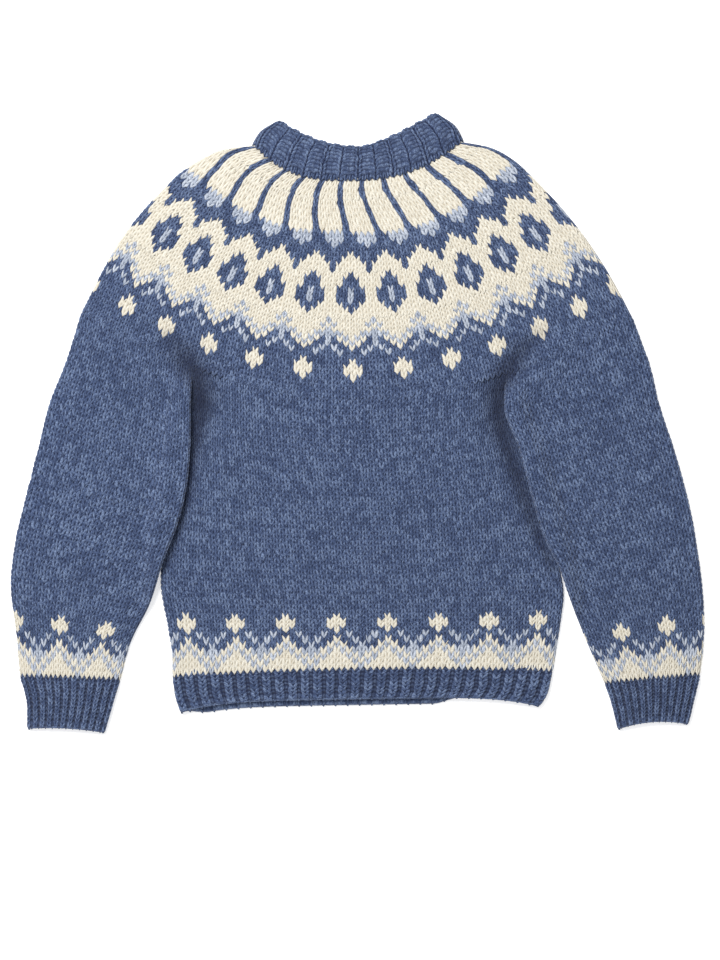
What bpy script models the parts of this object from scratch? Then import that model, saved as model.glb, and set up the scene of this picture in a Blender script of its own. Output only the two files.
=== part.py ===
"""A hand-knitted pullover with a round patterned yoke, laid flat on its back.

Metres, +Z up. +Y runs from the hem to the neck, +X to the right as the front is seen from above.
The origin is under the middle of the garment, on the surface that it lies on. It is knitted in the
round, so every piece is a flattened tube: a front layer lying on a back layer, with a soft fold at
each side, open at both ends. Sizes below are in millimetres.
"""

import math
from collections import namedtuple

import bmesh
import bpy
import numpy as np

MM = 0.001

# Fabric: a bulky wool of 13 stitches and 17 rows to 100 mm
WALL = 4.0  # thickness of one layer of knitting
LAYER_GAP = 0.8  # air between the front layer and the back layer
SEAM_GAP = 0.3  # between pieces that are knitted or sewn to each other
FOLD_TURNS = (45, 0, -45)  # degrees round a side fold, between its top and its underside
BAND_WALL = 5.6  # the neckband is folded over and sewn down, so it is thicker
BAND_FOOT_WALL = 4.8  # just above its seam
RIB_RISE = 1.4  # how far a rib's knit columns stand above its purl columns
RIB_STEPS = 4  # points across one rib
LIP = 0.55  # share of a wall's height that is left at an open, rounded edge
LIP_LENGTH = 2.0
SHARP_ANGLE = math.radians(50)  # edges sharper than this aren't shaded smooth
CURVE_SAMPLES = 401  # points on which a curve's length is measured

# Ribs on the front of each ribbed piece
HEM_RIBS = 30
CUFF_RIBS = 7
NECK_RIBS = 13

# The front layer lies loosely on the back layer
FRONT_LOFT = 1.6
LOFT_EDGE = 26.0  # distance from a side fold over which the loft fades in
LOFT_MOST = 3.0

# A sleeve lies on the side of the body below the armpit
SLEEVE_LIFT = 2 * WALL + LAYER_GAP + 0.5
SLEEVE_OVERLAP = 30.0  # the body's sides are pressed flat this far in, under the sleeves
LIFT_RUN = 24.0  # the sleeve comes down to the floor this far outside the body
LIFT_MARGIN = 5.0  # it stays up this far past the body's side fold
CROWD_POWER = 1.6  # how much closer a sleeve's columns lie where it climbs onto the body
LIFT_START = 0.085  # share of the sleeve's length over which it climbs onto the body

# The back of the hem hangs a little lower than the front, between these places
HEM_DROP = 7.0
HEM_DROP_FROM = -212.0
HEM_DROP_TO = 124.0
HEM_DROP_FADE = 34.0

# Rings of the yoke as they lie, from the neck to the underarm. Each is a curve that hangs from its
# two ends at the sides to its lowest place at the middle, the steeper the smaller its power.
Ring = namedtuple("Ring", "place mid_x mid_y left_x left_y right_x right_y power_left power_right")
RINGS = [
    Ring("neck seam", -13, 288, -128, 334, 129, 338, 3.0, 2.6),
    Ring("middle of the petals", -9, 259, -165, 329, 160, 332, 2.9, 2.7),
    Ring("end of the petals", -7, 228, -206, 307, 188, 317, 2.5, 2.6),
    Ring("above the diamonds", -7, 191, -235, 281, 220, 287, 2.4, 2.4),
    Ring("middle of the diamonds", -7, 155, -261, 253, 247, 258, 2.3, 2.3),
    Ring("zigzag", -4, 108, -292, 211, 281, 214, 2.1, 2.1),
    Ring("dots", -3, 64, -316, 166, 310, 167, 2.0, 2.0),
    Ring("underarm", -3, 25, -333, 132, 332, 125, 1.9, 1.9),
]
BAND_TOP = Ring("top of the neckband", 4, 331, -98, 363, 99, 371.7, 2.2, 1.35)

# Where the ring at the underarm meets the inner side of each sleeve
ARMPIT_LEFT_X = -201.0
ARMPIT_RIGHT_X = 181.0
ARMPIT_SPREAD = 0.6  # between the sleeve and the body, side by side at the armpit

# Side folds of the pieces, a row for each section down from the armpit or up from the neck
Section = namedtuple("Section", "left_x left_y right_x right_y")
BODY_SIDES = [
    Section(-195.0, 36, 177.0, 38),
    Section(-198, 21, 180, 21),
    Section(-207, 2, 189, 2),
    Section(-218, -44, 207, -44),
    Section(-227, -104, 225, -104),
    Section(-236, -164, 241, -164),
    Section(-236, -203, 248, -204),
    Section(-230, -236, 245, -236),
    Section(-224, -272, 240, -268),
    Section(-223, -307, 235, -300),
]
HEM_SIDES = [Section(-219, -332, 227, -330), Section(-214, -347, 220, -340)]
SLEEVE_LEFT_SIDES = [
    Section(-341, 105, -197.0, 38),
    Section(-350, 77, -196, 21),
    Section(-371, 23, -194, -27),
    Section(-385, -32, -202, -74),
    Section(-399, -87, -215, -121),
    Section(-412, -142, -233, -168),
    Section(-417.4, -197, -248, -215),
    Section(-411, -251, -272, -263),
    Section(-406, -306, -285, -310),
]
SLEEVE_RIGHT_SIDES = [
    Section(179.0, 36, 341, 100),
    Section(178, 19, 350, 76),
    Section(193, -31, 364, 20),
    Section(207, -83, 381, -32),
    Section(223, -137, 397, -89),
    Section(242, -176, 408, -146),
    Section(256, -216, 415, -200),
    Section(274, -260, 417, -254),
    Section(297, -314, 412, -304),
]
CUFF_LEFT_SIDES = [Section(-399, -328, -291, -329), Section(-397, -366, -303, -371)]
CUFF_RIGHT_SIDES = [Section(303, -331, 405, -332), Section(312, -367, 398, -361)]
BAND_SIDES = [Section(-115, 352, 117, 359), Section(-98, 363, 99, 371.7)]

# How far the middle of an end stands above the straight line between its corners
HEM_SEAM_BOW = 6.0
HEM_EDGE_BOW = 13.0
HEM_EDGE_POWER = 5.0
CUFF_LEFT_BOW = 3.0
CUFF_RIGHT_BOW = 6.0
SEAM_BOW = 0.5

# Largest folds of the front layer: soft troughs (negative) and ridges along a line
Fold = namedtuple("Fold", "place start_x start_y end_x end_y half_width height")
FOLDS = [
    Fold("left armpit crease", -244, 112, -201, 62, 11, -1.6),
    Fold("right armpit crease", 228, 108, 182, 58, 11, -1.6),
    Fold("left of the left crease", -262, 88, -222, 30, 16, 1.2),
    Fold("right of the right crease", 244, 86, 203, 22, 16, 1.2),
    Fold("left side of the chest", -172, 60, -150, -40, 20, 0.9),
    Fold("right side of the chest", 160, 58, 146, -60, 20, 0.8),
    Fold("left elbow", -330, -90, -262, -132, 16, 0.9),
    Fold("right elbow", 348, -70, 262, -120, 16, 0.9),
    Fold("left forearm", -372, -196, -300, -216, 14, -1.0),
    Fold("right forearm", 384, -204, 312, -230, 14, -1.0),
]

# Finish of the yarns
BLUE = (0.070, 0.112, 0.270, 1.0)
CREAM = (0.830, 0.760, 0.600, 1.0)
WOOL_ROUGHNESS = 0.95


def smoothstep(x):
    """Rises from 0 to 1 as x does, with level ends."""
    x = np.clip(x, 0.0, 1.0)
    return x * x * (3 - 2 * x)


def read_smoothly(keys, values, at):
    """Values given at rising keys, read along a smooth curve through them."""
    keys = np.asarray(keys, float)
    values = np.asarray(values, float)
    slopes = np.gradient(values, keys, axis=0)
    i = int(np.clip(np.searchsorted(keys, at) - 1, 0, len(keys) - 2))
    span = keys[i + 1] - keys[i]
    u = (at - keys[i]) / span
    start = values[i] * (1 + 2 * u) * (1 - u) ** 2 + slopes[i] * span * u * (1 - u) ** 2
    end = values[i + 1] * u * u * (3 - 2 * u) + slopes[i + 1] * span * u * u * (u - 1)
    return start + end


def ring_curve(ring, shares):
    """Points of a ring at shares of its length, from its left end to its right end."""
    x = np.linspace(ring.left_x, ring.right_x, CURVE_SAMPLES)
    left = np.clip((ring.mid_x - x) / (ring.mid_x - ring.left_x), 0, 1) ** ring.power_left
    right = np.clip((x - ring.mid_x) / (ring.right_x - ring.mid_x), 0, 1) ** ring.power_right
    y = ring.mid_y + (ring.left_y - ring.mid_y) * left + (ring.right_y - ring.mid_y) * right
    run = np.concatenate([[0], np.cumsum(np.hypot(np.diff(x), np.diff(y)))])
    run /= run[-1]
    return np.stack([np.interp(shares, run, x), np.interp(shares, run, y)], axis=-1)


def ring_depths():
    """Each ring's distance below the neck seam, down the middle."""
    return [RINGS[0].mid_y - ring.mid_y for ring in RINGS]


def yoke_point(shares, depth):
    """Points of the yoke at shares of the way across and a depth below the neck seam."""
    rings = np.array([ring_curve(ring, shares) for ring in RINGS])
    return read_smoothly(ring_depths(), rings, depth)


def share_at(x):
    """The share of the underarm ring's length at which it passes x."""
    shares = np.linspace(0, 1, CURVE_SAMPLES)
    return float(np.interp(x, ring_curve(RINGS[-1], shares)[:, 0], shares))


def armpit_spread():
    """Half of the room between sleeve and body, as a share of the underarm ring's length."""
    ring = ring_curve(RINGS[-1], np.linspace(0, 1, CURVE_SAMPLES))
    return ARMPIT_SPREAD / 2 / np.hypot(*np.diff(ring, axis=0).T).sum()


def side_curve(start, sections, side):
    """A side fold as a function of the share of its length, down from its start."""
    rows = [start] + [(getattr(s, side + "_x"), getattr(s, side + "_y")) for s in sections]
    points = np.array(rows, float)
    run = np.concatenate([[0], np.cumsum(np.hypot(*np.diff(points, axis=0).T))])
    return lambda t: read_smoothly(run / run[-1], points, t)


def bowed_line(a, start, end, bow, power=2.0):
    """A line between two corners whose middle stands above it by bow."""
    line = np.outer(1 - a, start) + np.outer(a, end)
    line[:, 1] += bow * (1 - np.abs(2 * a - 1) ** power)
    return line


def patch(top, bottom, left, right):
    """A surface between four edges: points at shares a across and t down."""

    def point(a, t):
        across = np.outer(1 - a, left(t)) + np.outer(a, right(t))
        at_top = np.outer(1 - a, left(0.0)) + np.outer(a, right(0.0))
        at_bottom = np.outer(1 - a, left(1.0)) + np.outer(a, right(1.0))
        return across + (1 - t) * (top(a) - at_top) + t * (bottom(a) - at_bottom)

    return point


def fold_relief(x, y):
    """Height that the largest folds add to the front layer."""
    total = np.zeros_like(x)
    for fold in FOLDS:
        start = np.array([fold.start_x, fold.start_y], float)
        along = np.array([fold.end_x, fold.end_y]) - start
        run = (x - start[0]) * along[0] + (y - start[1]) * along[1]
        share = np.clip(run / (along @ along), 0, 1)
        away = np.hypot(x - start[0] - share * along[0], y - start[1] - share * along[1])
        total += fold.height * np.exp(-((away / fold.half_width) ** 2))
    return total


def loft(points, edge_distance):
    """How far the front layer stands above where it would lie pressed flat."""
    free = smoothstep(edge_distance / LOFT_EDGE)
    return np.clip(free * (FRONT_LOFT + fold_relief(points[:, 0], points[:, 1])), 0, LOFT_MOST)


def rib_relief(a, count):
    """Raised knit columns, count of them across the front."""
    return RIB_RISE * (0.5 - 0.5 * np.cos(2 * math.pi * count * a))


def level_floor(points, t):
    """The underside of a piece that lies on the floor all over."""
    return np.zeros(len(points))


def columns(count, crowd):
    """Shares across a layer: even, or closer together near the side (-1 or 1) that crowd gives."""
    even = np.linspace(0, 1, count + 1)
    if crowd < 0:
        return even**CROWD_POWER
    if crowd > 0:
        return 1 - (1 - even) ** CROWD_POWER
    return even


def section_loops(front, back, t, piece, wall, lip):
    """The outer and the inner loop of a tube's section: front, right fold, back, left fold."""
    width = float(np.linalg.norm(front(np.array([1.0]), t) - front(np.array([0.0]), t)))
    half = wall + LAYER_GAP / 2
    inset = half / width
    across = inset + (1 - 2 * inset) * columns(piece.front_steps, piece.crowd)
    back_across = inset + (1 - 2 * inset) * columns(piece.back_steps, piece.crowd)[::-1]
    front_points = front(across, t)
    back_points = back(back_across, t)
    edge = np.minimum(across, 1 - across) * width
    rise = loft(front_points, edge - half - piece.flat_edge)
    ribs = rib_relief((across - inset) / (1 - 2 * inset), piece.ribs) if piece.ribs else 0.0
    floor_front, floor_back = piece.floor(front_points, t), piece.floor(back_points, t)
    thin = wall * (1 - lip) / 2

    def folded(side, radius):
        """Points round a side fold, at a radius from its middle."""
        centre, rim = front(np.array([inset if side < 0 else 1 - inset, (side + 1) / 2]), t)
        out = (rim - centre) / np.linalg.norm(rim - centre)
        turns = np.radians(FOLD_TURNS)[:: side]
        at = centre + np.outer(radius * np.cos(turns), out)
        return at, half + radius * np.sin(turns) + piece.floor(at, t)

    outer_radius, inner_radius = half - thin, LAYER_GAP / 2
    loops = []
    for radius, top, bottom in (
        (outer_radius, 2 * wall + LAYER_GAP - thin + ribs * lip, thin),
        (inner_radius, wall + LAYER_GAP, wall),
    ):
        right, right_z = folded(1, radius)
        left, left_z = folded(-1, radius)
        plan = np.concatenate([front_points, right, back_points, left])
        height = np.concatenate(
            [floor_front + rise + top, right_z, floor_back + bottom, left_z]
        )
        loops.append(np.column_stack([plan, height]))
    return loops


# The mesh of a tube: steps across each layer, the side that its columns crowd towards, ribs on the
# front, the height of its underside, and how far in from its side folds it lies pressed flat
Piece = namedtuple("Piece", "front_steps back_steps crowd ribs floor flat_edge")


def build_tube(name, colour, front, back, rows, piece, walls=None, lips=None):
    """Builds one flattened tube through sections at the given rows, closed into one solid."""
    walls = walls or [WALL] * len(rows)
    lips = lips or [1.0] * len(rows)
    loops = [section_loops(front, back, t, piece, w, k) for t, w, k in zip(rows, walls, lips)]
    bm = bmesh.new()
    verts = [[[bm.verts.new(p * MM) for p in loop] for loop in pair] for pair in loops]
    around = len(verts[0][0])
    for i in range(around):
        j = (i + 1) % around
        for above, below in zip(verts, verts[1:]):
            bm.faces.new([above[0][i], above[0][j], below[0][j], below[0][i]])
            bm.faces.new([above[1][j], above[1][i], below[1][i], below[1][j]])
        for end, (p, q) in ((verts[0], (j, i)), (verts[-1], (i, j))):
            bm.faces.new([end[0][p], end[0][q], end[1][q], end[1][p]])
    bmesh.ops.recalc_face_normals(bm, faces=bm.faces)
    mesh = bpy.data.meshes.new(name)
    bm.to_mesh(mesh)
    bm.free()
    mesh.shade_smooth()
    mesh.set_sharp_from_angle(angle=SHARP_ANGLE)
    obj = bpy.data.objects.new(name, mesh)
    bpy.context.collection.objects.link(obj)
    obj.data.materials.append(wool(name + "_wool", colour))
    return obj


def wool(name, colour):
    """Matt wool of one colour."""
    material = bpy.data.materials.new(name)
    material.use_nodes = True
    shader = material.node_tree.nodes["Principled BSDF"]
    shader.inputs["Base Color"].default_value = colour
    shader.inputs["Roughness"].default_value = WOOL_ROUGHNESS
    shader.inputs["Metallic"].default_value = 0.0
    return material


def steps(count, start=0.0, end=1.0):
    """Evenly spaced rows between two shares of a piece's length."""
    return [start + (end - start) * i / count for i in range(count + 1)]


def build_yoke():
    """The round yoke, from the underarm ring to the neck."""
    deepest = ring_depths()[-1]
    point = lambda a, t: yoke_point(a, t * deepest)
    piece = Piece(34, 14, crowd=0, ribs=0, floor=level_floor, flat_edge=0.0)
    build_tube("yoke", CREAM, point, point, steps(11), piece)


def build_neckband():
    """The ribbed band round the neck, from its seam to its folded top edge."""
    seam = lambda a: yoke_point(a, 0.0) + (0.0, SEAM_GAP)
    top = lambda a: ring_curve(BAND_TOP, a)
    left = side_curve(seam(np.array([0.0]))[0], BAND_SIDES, "left")
    right = side_curve(seam(np.array([1.0]))[0], BAND_SIDES, "right")
    point = patch(seam, top, left, right)
    piece = Piece(NECK_RIBS * RIB_STEPS, 14, 0, NECK_RIBS, level_floor, flat_edge=0.0)
    rows = [0.0, 0.2, 0.5, 0.8, 0.95, 1.0]
    walls = [WALL, BAND_FOOT_WALL] + [BAND_WALL] * (len(rows) - 2)
    build_tube("neckband", BLUE, point, point, rows, piece, walls, [1, 1, 1, 1, 1, LIP])


def underarm_part(start, end):
    """Part of the underarm ring, just below the yoke, as a function of the share across it."""

    def point(a):
        shares = start + (end - start) * a
        step = 1 / CURVE_SAMPLES
        ahead = ring_curve(RINGS[-1], np.clip(shares + step, 0, 1))
        behind = ring_curve(RINGS[-1], np.clip(shares - step, 0, 1))
        run = ahead - behind
        down = np.stack([run[:, 1], -run[:, 0]], axis=-1)
        down /= np.linalg.norm(down, axis=1, keepdims=True)
        return ring_curve(RINGS[-1], shares) + SEAM_GAP * down

    return point


def build_body(armpit_left, armpit_right):
    """The plain tube of the body and its ribbed welt."""
    top = underarm_part(armpit_left + armpit_spread(), armpit_right - armpit_spread())
    ends = top(np.array([0.0, 1.0]))
    left = side_curve(ends[0], BODY_SIDES, "left")
    right = side_curve(ends[1], BODY_SIDES, "right")
    seam = lambda a: bowed_line(a, left(1.0), right(1.0), HEM_SEAM_BOW)
    point = patch(top, seam, left, right)
    piece = Piece(22, 12, crowd=0, ribs=0, floor=level_floor, flat_edge=SLEEVE_OVERLAP)
    rows = [0.0, 0.04, 0.08, 0.12, 0.17] + steps(8, 0.26)
    build_tube("body", BLUE, point, point, rows, piece)

    rib_top = lambda a: seam(a) - (0.0, SEAM_GAP)
    corners = rib_top(np.array([0.0, 1.0]))
    rib_left = side_curve(corners[0], HEM_SIDES, "left")
    rib_right = side_curve(corners[1], HEM_SIDES, "right")
    edge = lambda a: bowed_line(a, rib_left(1.0), rib_right(1.0), HEM_EDGE_BOW, HEM_EDGE_POWER)

    def back_edge(a):
        """The lower edge of the back, which shows under the front edge."""
        line = edge(a)
        rise = smoothstep((line[:, 0] - HEM_DROP_FROM) / HEM_DROP_FADE)
        fall = smoothstep((HEM_DROP_TO - line[:, 0]) / HEM_DROP_FADE)
        line[:, 1] -= HEM_DROP * rise * fall
        return line

    front = patch(rib_top, edge, rib_left, rib_right)
    back = patch(rib_top, back_edge, rib_left, rib_right)
    piece = Piece(HEM_RIBS * RIB_STEPS, 20, 0, HEM_RIBS, level_floor, flat_edge=0.0)
    lip_start = 1 - LIP_LENGTH / abs(HEM_SIDES[-1].left_y - BODY_SIDES[-1].left_y)
    rows = [0.0, 0.5, lip_start, 1.0]
    build_tube("hem_rib", BLUE, front, back, rows, piece, None, [1, 1, 1, LIP])
    return left, right


def sleeve_floor(side, body_side):
    """The height of a sleeve's underside, which climbs over the body's side fold."""
    samples = np.array([body_side(t) for t in np.linspace(0, 1, CURVE_SAMPLES)])
    order = np.argsort(samples[:, 1])
    edge_x, edge_y = samples[order, 0], samples[order, 1]

    def height(points, t):
        outside = side * (points[:, 0] - np.interp(points[:, 1], edge_y, edge_x))
        near = 1 - smoothstep((outside - LIFT_MARGIN) / LIFT_RUN)
        return SLEEVE_LIFT * near * smoothstep(t / LIFT_START)

    return height


def build_sleeve(side, armpit, body_side):
    """A sleeve and its ribbed cuff; side is -1 for the left one as it lies and 1 for the right."""
    word = "left" if side < 0 else "right"
    sections = SLEEVE_LEFT_SIDES if side < 0 else SLEEVE_RIGHT_SIDES
    cuff_sections = CUFF_LEFT_SIDES if side < 0 else CUFF_RIGHT_SIDES
    bow = CUFF_LEFT_BOW if side < 0 else CUFF_RIGHT_BOW
    inner = armpit + side * armpit_spread()
    top = underarm_part(0.0, inner) if side < 0 else underarm_part(inner, 1.0)
    ends = top(np.array([0.0, 1.0]))
    left = side_curve(ends[0], sections, "left")
    right = side_curve(ends[1], sections, "right")
    seam = lambda a: bowed_line(a, left(1.0), right(1.0), SEAM_BOW)
    point = patch(top, seam, left, right)
    floor = sleeve_floor(side, body_side)
    piece = Piece(13, 12, crowd=-side, ribs=0, floor=floor, flat_edge=0.0)
    rows = [0.0, 0.03, 0.06, 0.09, 0.13, 0.18] + steps(10, 0.25)
    build_tube("sleeve_" + word, BLUE, point, point, rows, piece)

    rib_top = lambda a: seam(a) - (0.0, SEAM_GAP)
    corners = rib_top(np.array([0.0, 1.0]))
    rib_left = side_curve(corners[0], cuff_sections, "left")
    rib_right = side_curve(corners[1], cuff_sections, "right")
    edge = lambda a: bowed_line(a, rib_left(1.0), rib_right(1.0), bow)
    cuff = patch(rib_top, edge, rib_left, rib_right)
    piece = Piece(CUFF_RIBS * RIB_STEPS, 10, 0, CUFF_RIBS, level_floor, flat_edge=0.0)
    lip_start = 1 - LIP_LENGTH / abs(cuff_sections[-1].left_y - sections[-1].left_y)
    rows = [0.0, 0.3, 0.65, lip_start, 1.0]
    build_tube("cuff_" + word, BLUE, cuff, cuff, rows, piece, None, [1, 1, 1, 1, LIP])


for old in list(bpy.data.objects):
    bpy.data.objects.remove(old, do_unlink=True)

armpit_left, armpit_right = share_at(ARMPIT_LEFT_X), share_at(ARMPIT_RIGHT_X)
build_yoke()
build_neckband()
body_left, body_right = build_body(armpit_left, armpit_right)
build_sleeve(-1, armpit_left, body_left)
build_sleeve(1, armpit_right, body_right)
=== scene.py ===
"""A hand-knitted pullover with a round patterned yoke, laid flat on a white table.

Sizes are in millimetres and are turned to metres where a mesh is made. +Y runs from the hem to the
neck and +X to the right as the front is seen from above.
"""

import math
from collections import namedtuple

import bpy
import numpy as np
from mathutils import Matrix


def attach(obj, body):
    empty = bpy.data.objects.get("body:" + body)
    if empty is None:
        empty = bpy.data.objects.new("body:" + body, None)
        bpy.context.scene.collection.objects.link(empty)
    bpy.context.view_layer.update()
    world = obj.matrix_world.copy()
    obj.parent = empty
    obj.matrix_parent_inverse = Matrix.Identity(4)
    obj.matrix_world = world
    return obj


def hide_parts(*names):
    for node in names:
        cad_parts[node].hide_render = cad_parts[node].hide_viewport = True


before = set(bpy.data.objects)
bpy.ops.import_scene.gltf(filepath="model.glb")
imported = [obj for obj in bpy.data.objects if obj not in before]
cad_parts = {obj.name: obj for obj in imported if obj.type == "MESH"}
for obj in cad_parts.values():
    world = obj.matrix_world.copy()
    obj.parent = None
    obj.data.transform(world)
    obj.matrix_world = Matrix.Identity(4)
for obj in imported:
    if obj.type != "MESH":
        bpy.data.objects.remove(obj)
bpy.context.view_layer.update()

# The table and the light. The pullover lies on a plain white table and is seen from straight above,
# under one large soft light from the upper left and an even pale sky.
MM = 0.001
VIEW_X, VIEW_Y = 3.0, -68.4  # the middle of the view
VIEW_HEIGHT = 1152.0  # how much of the table the view takes in, from top to bottom
CAMERA_HEIGHT = 3000.0  # above the front of the garment
CLOTH_HEIGHT = 9.0
SENSOR = 36.0
TABLE_SIZE = 12.0  # metres, as the light's place and size are
TABLE_WHITE = (0.93, 0.93, 0.93, 1.0)
TABLE_GLOW = 0.45  # so little of the shadows is left, as in a picture cut out on white
WHITE = (1, 1, 1, 1)
SKY_STRENGTH = 0.62
LIGHT_PLACE = (-1.1, 1.5, 2.4)
LIGHT_SIZE = 1.6
LIGHT_POWER = 92.0

scene = bpy.context.scene
scene.view_settings.view_transform = "Standard"
camera_data = bpy.data.cameras.new("camera")
camera_data.sensor_fit = "VERTICAL"
camera_data.sensor_height = SENSOR
camera_data.lens = SENSOR * CAMERA_HEIGHT / VIEW_HEIGHT
camera = bpy.data.objects.new("camera", camera_data)
camera.location = (VIEW_X * MM, VIEW_Y * MM, (CAMERA_HEIGHT + CLOTH_HEIGHT) * MM)
scene.collection.objects.link(camera)
scene.camera = camera

bpy.ops.mesh.primitive_plane_add(size=TABLE_SIZE, location=(0, 0, 0))
table = bpy.context.object
table.name = "table"
table_paint = bpy.data.materials.new("table_white")
table_paint.use_nodes = True
TABLE_LOOKS = {
    "Base Color": TABLE_WHITE,
    "Roughness": 0.9,
    "Specular IOR Level": 0.1,
    "Emission Color": WHITE,
    "Emission Strength": TABLE_GLOW,
}
for key, value in TABLE_LOOKS.items():
    table_paint.node_tree.nodes["Principled BSDF"].inputs[key].default_value = value
table.data.materials.append(table_paint)

scene.world = bpy.data.worlds.new("pale sky")
scene.world.use_nodes = True
sky = scene.world.node_tree.nodes["Background"]
sky.inputs["Color"].default_value = WHITE
sky.inputs["Strength"].default_value = SKY_STRENGTH

light_data = bpy.data.lights.new("soft light", "AREA")
light_data.shape = "DISK"
light_data.size = LIGHT_SIZE
light_data.energy = LIGHT_POWER
light = bpy.data.objects.new("soft light", light_data)
light.location = LIGHT_PLACE
light.rotation_euler = (-light.location).to_track_quat("-Z", "Y").to_euler()
scene.collection.objects.link(light)

# The yoke: one tapering ring of bulky wool, knitted round and round from the underarm to the neck,
# with the pattern in three yarns. The rings of the pattern lie as curves that hang from the
# shoulders, and the stitches of each repeat go down from eight to four on the way up.
WALL = 4.0  # thickness of one layer of knitting
LAYER_GAP = 0.8  # air between the front layer and the back layer
FRONT_LOFT = 1.6  # how far the front stands above where it would lie pressed flat
LOFT_EDGE = 26.0  # how far in from the side folds it stands so high
LOFT_MOST = 3.0  # with its folds
CURVE_SAMPLES = 401

Ring = namedtuple("Ring", "place mid_x mid_y left_x left_y right_x right_y power_left power_right")
RINGS = [
    Ring("neck seam", -13, 288, -128, 334, 129, 338, 3.0, 2.6),
    Ring("middle of the petals", -9, 259, -165, 329, 160, 332, 2.9, 2.7),
    Ring("end of the petals", -7, 228, -206, 307, 188, 317, 2.5, 2.6),
    Ring("above the diamonds", -7, 191, -235, 281, 220, 287, 2.4, 2.4),
    Ring("middle of the diamonds", -7, 155, -261, 253, 247, 258, 2.3, 2.3),
    Ring("zigzag", -4, 108, -292, 211, 281, 214, 2.1, 2.1),
    Ring("dots", -3, 64, -316, 166, 310, 167, 2.0, 2.0),
    Ring("underarm", -3, 25, -333, 132, 332, 125, 1.9, 1.9),
]
YOKE_DEPTH = RINGS[0].mid_y - RINGS[-1].mid_y

# Folds and soft waves of the front: troughs (negative) and ridges along a line
Fold = namedtuple("Fold", "place start_x start_y end_x end_y half_width height")
FOLDS = [
    Fold("left armpit crease", -244, 112, -201, 62, 11, -1.6),
    Fold("right armpit crease", 228, 108, 182, 58, 11, -1.6),
    Fold("left of the left crease", -262, 88, -222, 30, 16, 1.2),
    Fold("right of the right crease", 244, 86, 203, 22, 16, 1.2),
    Fold("left side of the chest", -172, 60, -150, -40, 20, 0.9),
    Fold("right side of the chest", 160, 58, 146, -60, 20, 0.8),
    Fold("left elbow", -330, -90, -262, -132, 16, 0.9),
    Fold("right elbow", 348, -70, 262, -120, 16, 0.9),
    Fold("left forearm", -372, -196, -300, -216, 14, -1.0),
    Fold("right forearm", 384, -204, 312, -230, 14, -1.0),
]

# The deep soft valleys that begin on the yoke and run down between the body and the sleeves, as
# points with a half width and a depth. Each sinks the front and paints shadow into its colour.
VALLEY_SINK = 0.6  # share of the front's height that a valley of depth 1 takes away
Valley = namedtuple("Valley", "x y half_width depth")
LEFT_VALLEY = [
    Valley(-226, 100, 12, 0.3),
    Valley(-207, 78, 18, 0.62),
    Valley(-194, 54, 20, 0.72),
    Valley(-188, 24, 19, 0.74),
    Valley(-194, -8, 13, 0.68),
    Valley(-199, -44, 10, 0.54),
    Valley(-211, -116, 7, 0.44),
    Valley(-232, -178, 5, 0.4),
]
RIGHT_VALLEY = [
    Valley(219, 106, 10, 0.2),
    Valley(197, 86, 14, 0.52),
    Valley(181, 62, 16, 0.66),
    Valley(170, 37, 17, 0.72),
    Valley(169, 4, 15, 0.7),
    Valley(185, -44, 12, 0.62),
    Valley(202, -92, 11, 0.58),
    Valley(218, -138, 8, 0.5),
    Valley(236, -176, 5, 0.4),
]


def smoothstep(x):
    """Rises from 0 to 1 as x does, with level ends."""
    x = np.clip(x, 0.0, 1.0)
    return x * x * (3 - 2 * x)


def read_smoothly(keys, values, at):
    """Values given at rising keys, read along a smooth curve through them."""
    keys = np.asarray(keys, float)
    values = np.asarray(values, float)
    slopes = np.gradient(values, keys, axis=0)
    i = int(np.clip(np.searchsorted(keys, at) - 1, 0, len(keys) - 2))
    span = keys[i + 1] - keys[i]
    u = (at - keys[i]) / span
    start = values[i] * (1 + 2 * u) * (1 - u) ** 2 + slopes[i] * span * u * (1 - u) ** 2
    end = values[i + 1] * u * u * (3 - 2 * u) + slopes[i + 1] * span * u * u * (u - 1)
    return start + end


def ring_curve(ring, shares):
    """Points of a ring at shares of its length, from its left end to its right end."""
    x = np.linspace(ring.left_x, ring.right_x, CURVE_SAMPLES)
    left = np.clip((ring.mid_x - x) / (ring.mid_x - ring.left_x), 0, 1) ** ring.power_left
    right = np.clip((x - ring.mid_x) / (ring.right_x - ring.mid_x), 0, 1) ** ring.power_right
    y = ring.mid_y + (ring.left_y - ring.mid_y) * left + (ring.right_y - ring.mid_y) * right
    run = np.concatenate([[0], np.cumsum(np.hypot(np.diff(x), np.diff(y)))])
    run /= run[-1]
    return np.stack([np.interp(shares, run, x), np.interp(shares, run, y)], axis=-1)


def yoke_point(shares, t):
    """Points of the yoke at shares of the way across and t of the way down from the neck."""
    rings = np.array([ring_curve(ring, shares) for ring in RINGS])
    return read_smoothly([RINGS[0].mid_y - ring.mid_y for ring in RINGS], rings, t * YOKE_DEPTH)


def fold_relief(x, y):
    """Height that the folds add to the front layer."""
    total = np.zeros_like(x)
    for fold in FOLDS:
        start = np.array([fold.start_x, fold.start_y], float)
        along = np.array([fold.end_x, fold.end_y]) - start
        run = (x - start[0]) * along[0] + (y - start[1]) * along[1]
        share = np.clip(run / (along @ along), 0, 1)
        away = np.hypot(x - start[0] - share * along[0], y - start[1] - share * along[1])
        total += fold.height * np.exp(-((away / fold.half_width) ** 2))
    return total


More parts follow.
